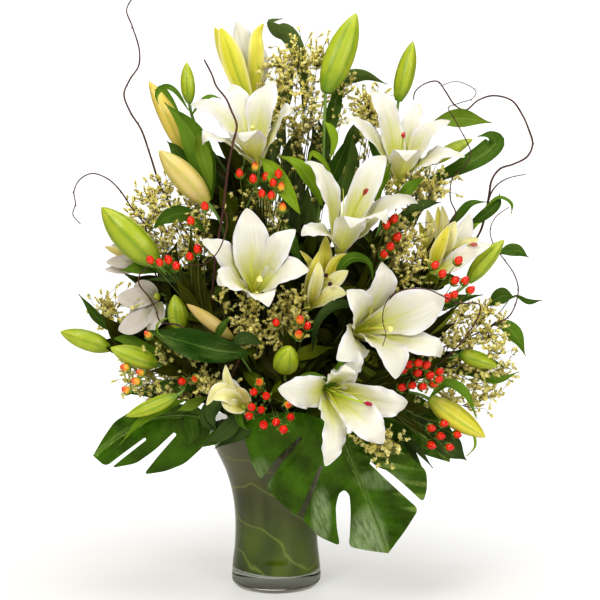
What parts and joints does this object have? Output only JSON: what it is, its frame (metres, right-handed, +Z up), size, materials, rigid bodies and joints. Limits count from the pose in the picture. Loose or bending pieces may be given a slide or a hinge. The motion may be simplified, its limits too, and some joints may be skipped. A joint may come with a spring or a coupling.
{
  "type": "lilies in a vase",
  "caption": "Tall one-sided florist's bouquet of white lilies with berries, statice, curly willow and monstera leaves, standing in a flared clear glass vase lined with a leaf.",
  "frame": {"origin": "middle of the flat underside of the vase, where it stands", "axes": "+Z up the vase's axis, -Y towards the bouquet's front, +X to the right as seen from the front"},
  "size_m": [0.7125, 0.3297, 0.8874],
  "materials": {
    "vase_glass": "polished",
    "water": "polished",
    "liner_leaf": "satin",
    "monstera_leaf": "gloss",
    "white_petal": "satin",
    "cream_petal": "satin",
    "lily_green": "satin",
    "hypericum": "gloss",
    "limonium": "matte",
    "willow_bark": "satin",
    "dark_leaf": "satin"
  },
  "bodies": {
    "root": {"vase": "vase_glass", "liner_leaf": "liner_leaf", "lily_top": "cream_petal", "lily_upper_left": "white_petal", "lily_upper_right": "white_petal", "lily_centre": "white_petal", "lily_left": "white_petal", "lily_right": "white_petal", "lily_low": "white_petal", "lily_far_right": "cream_petal", "lily_half_open": "cream_petal", "lily_hidden_left": "white_petal", "lily_small_low": "cream_petal", "monstera_front": "monstera_leaf", "monstera_left": "monstera_leaf", "monstera_back": "monstera_leaf", "lily_stem_left_high": "lily_green", "lily_stem_middle": "lily_green", "lily_stem_right_high": "lily_green", "lily_stem_left": "lily_green", "lily_stem_right": "lily_green", "lily_stem_low": "lily_green", "lily_stem_low_right": "lily_green", "lily_stem_low_left": "lily_green", "willow_far_left": "willow_bark", "willow_left": "willow_bark", "willow_front_left": "willow_bark", "willow_low_left": "willow_bark", "willow_far_right": "willow_bark", "willow_upper_right": "willow_bark", "willow_right": "willow_bark", "willow_over_bloom": "willow_bark", "foliage_front": "dark_leaf", "foliage_top": "dark_leaf", "foliage_right": "dark_leaf", "foliage_low_right": "dark_leaf", "foliage_left": "dark_leaf", "hypericum_top": "hypericum", "hypericum_left": "hypericum", "hypericum_centre_right": "hypericum", "hypericum_right": "hypericum", "hypericum_low_right": "hypericum", "hypericum_far_low_right": "hypericum", "hypericum_low": "hypericum", "hypericum_low_left": "hypericum", "hypericum_centre": "hypericum", "limonium_top": "limonium", "limonium_top_right": "limonium", "limonium_upper_right": "limonium", "limonium_right": "limonium", "limonium_far_right": "limonium", "limonium_upper_left": "limonium", "limonium_far_left": "limonium", "limonium_low_left": "limonium", "limonium_centre": "limonium", "limonium_low_right": "limonium", "water": "water"}
  },
  "joints": []
}
